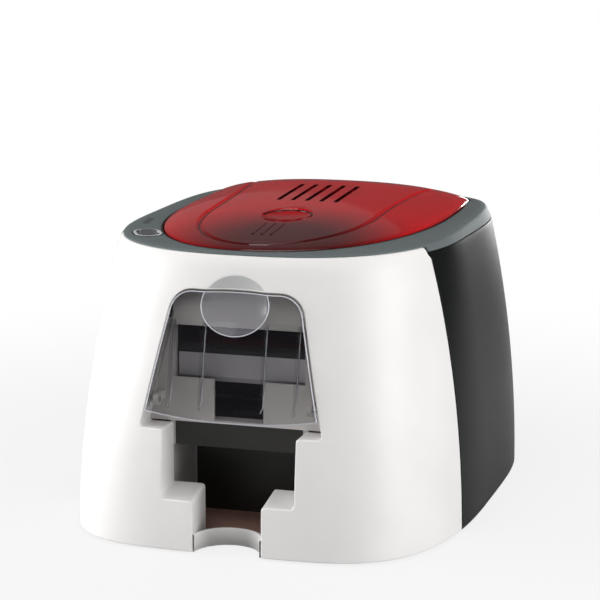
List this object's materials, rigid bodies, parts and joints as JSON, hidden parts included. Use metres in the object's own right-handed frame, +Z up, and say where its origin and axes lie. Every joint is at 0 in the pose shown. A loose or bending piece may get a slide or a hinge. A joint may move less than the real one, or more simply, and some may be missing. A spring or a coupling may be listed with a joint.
{
  "type": "id card printer",
  "caption": "Desktop card printer: hinged translucent lid, clear card hopper flap, front output bin, roller card path and ribbon cassette on a steel chassis.",
  "frame": {"origin": "middle of the footprint, on the underside of the rubber feet", "axes": "+X to the machine's right as seen from the front, -Y out of the front with the hopper and bin, +Z up"},
  "size_m": [0.275, 0.3388, 0.2107],
  "materials": {
    "white_shell": "satin moulded",
    "charcoal_shell": "fine satin moulded",
    "slate_trim": "satin moulded",
    "red_cover": "polished translucent",
    "smoke_clear": "polished clear",
    "pale_inner": "moulded",
    "black_inner": "moulded",
    "base_plastic": "moulded",
    "foot_rubber": "matt",
    "roller_rubber": "ground",
    "clean_rubber": "tacky",
    "belt_rubber": "matt",
    "sheet_steel": "zinc plated",
    "shaft_steel": "ground",
    "spring_steel": "drawn wire",
    "ring_chrome": "polished",
    "motor_case": "black",
    "gear_plastic": "natural moulded",
    "pinion_brass": "machined",
    "bush_plastic": "moulded",
    "board_green": "solder mask",
    "port_steel": "stamped",
    "lens_dark": "polished",
    "head_alloy": "machined",
    "ribbon_dye": "glossy film",
    "core_plastic": "moulded"
  },
  "bodies": {
    "printer": {"base_tray": "base_plastic", "rubber_feet": "foot_rubber", "front_casing": "white_shell", "left_side_panel": "charcoal_shell", "right_side_panel": "charcoal_shell", "rear_panel": "charcoal_shell", "top_bezel": "slate_trim", "hinge_brackets": "sheet_steel", "card_hopper": "pale_inner", "press_pivot": "shaft_steel", "output_bin": "black_inner", "chassis_left": "sheet_steel", "chassis_right": "sheet_steel", "chassis_rods": "shaft_steel", "path_plate": "sheet_steel", "shaft_bushes": "bush_plastic", "main_motor": "motor_case", "ribbon_motor": "motor_case", "idler_stud": "shaft_steel", "drive_belt": "belt_rubber", "main_board": "board_green", "usb_port": "port_steel", "power_jack": "black_inner", "status_lenses": "lens_dark", "button_ring": "ring_chrome", "button_spring": "spring_steel", "button_board": "board_green", "cassette_frame": "pale_inner", "ribbon_film": "ribbon_dye", "casing_screws": "shaft_steel"},
    "lid": {"lid_shell": "red_cover", "lid_frame": "black_inner", "head_bracket": "sheet_steel", "print_head": "head_alloy", "head_springs": "spring_steel", "lid_hinge_pins": "shaft_steel"},
    "flap": {"hopper_flap": "smoke_clear", "flap_pins": "shaft_steel"},
    "button": {"power_button": "slate_trim", "button_lens": "lens_dark"},
    "press": {"card_press": "pale_inner"},
    "pickup": {"pickup_roller": "roller_rubber", "pickup_shaft": "shaft_steel", "pickup_pulley": "gear_plastic"},
    "feed": {"feed_roller": "roller_rubber", "feed_shaft": "shaft_steel", "feed_pulley": "gear_plastic"},
    "cleaner": {"cleaning_roller": "clean_rubber"},
    "platen": {"platen_roller": "roller_rubber", "platen_shaft": "shaft_steel", "platen_gear": "gear_plastic", "platen_pulley": "gear_plastic"},
    "idler": {"idler_gear": "gear_plastic"},
    "pinion": {"motor_pinion": "pinion_brass"},
    "supply": {"supply_core": "core_plastic", "supply_roll": "ribbon_dye"},
    "takeup": {"takeup_core": "core_plastic", "takeup_roll": "ribbon_dye", "takeup_gear": "gear_plastic"},
    "ribbon_drive": {"ribbon_pinion": "pinion_brass"}
  },
  "joints": [
    {"name": "lid_hinge", "type": "hinge", "parent": "printer", "child": "lid", "pos_m": [0, 0.11824, 0.188], "axis": [-1, 0, 0], "range_deg": [0, 60]},
    {"name": "flap_hinge", "type": "hinge", "parent": "printer", "child": "flap", "pos_m": [0, -0.15332, 0.0985], "axis": [1, 0, 0], "range_deg": [0, 50]},
    {"name": "button_press", "type": "slide", "parent": "printer", "child": "button", "axis": [0, 0, -1], "range_m": [0, 0.001], "stiffness_N_per_m": 600},
    {"name": "press_hinge", "type": "hinge", "parent": "printer", "child": "press", "pos_m": [0, -0.09062, 0.1285], "axis": [-1, 0, 0], "range_deg": [0, 12]},
    {"name": "platen_spin", "type": "hinge", "parent": "printer", "child": "platen", "pos_m": [0, 0.03, 0.0765], "axis": [1, 0, 0], "continuous": true},
    {"name": "idler_spin", "type": "hinge", "parent": "printer", "child": "idler", "pos_m": [0.076, -0.00128, 0.05844], "axis": [1, 0, 0], "continuous": true},
    {"name": "motor_spin", "type": "hinge", "parent": "printer", "child": "pinion", "pos_m": [0.076, -0.02399, 0.03573], "axis": [1, 0, 0], "continuous": true},
    {"name": "feed_spin", "type": "hinge", "parent": "printer", "child": "feed", "pos_m": [0, -0.062, 0.0765], "axis": [1, 0, 0], "continuous": true},
    {"name": "pickup_spin", "type": "hinge", "parent": "printer", "child": "pickup", "pos_m": [0, -0.112, 0.0765], "axis": [1, 0, 0], "continuous": true},
    {"name": "cleaner_spin", "type": "hinge", "parent": "printer", "child": "cleaner", "pos_m": [0, -0.062, 0.09196], "axis": [1, 0, 0], "continuous": true},
    {"name": "supply_spin", "type": "hinge", "parent": "printer", "child": "supply", "pos_m": [0, 0.088, 0.122], "axis": [1, 0, 0], "continuous": true},
    {"name": "takeup_spin", "type": "hinge", "parent": "printer", "child": "takeup", "pos_m": [0, -0.035, 0.128], "axis": [1, 0, 0], "continuous": true},
    {"name": "ribbon_drive_spin", "type": "hinge", "parent": "printer", "child": "ribbon_drive", "pos_m": [-0.059, -0.05064, 0.11236], "axis": [1, 0, 0], "continuous": true}
  ],
  "couplings": [
    {"joint": "idler_spin", "follows": "platen_spin", "ratio": -0.5},
    {"joint": "motor_spin", "follows": "platen_spin", "ratio": 1.5},
    {"joint": "feed_spin", "follows": "platen_spin", "ratio": 1},
    {"joint": "pickup_spin", "follows": "platen_spin", "ratio": 1},
    {"joint": "ribbon_drive_spin", "follows": "takeup_spin", "ratio": -2.1429}
  ]
}
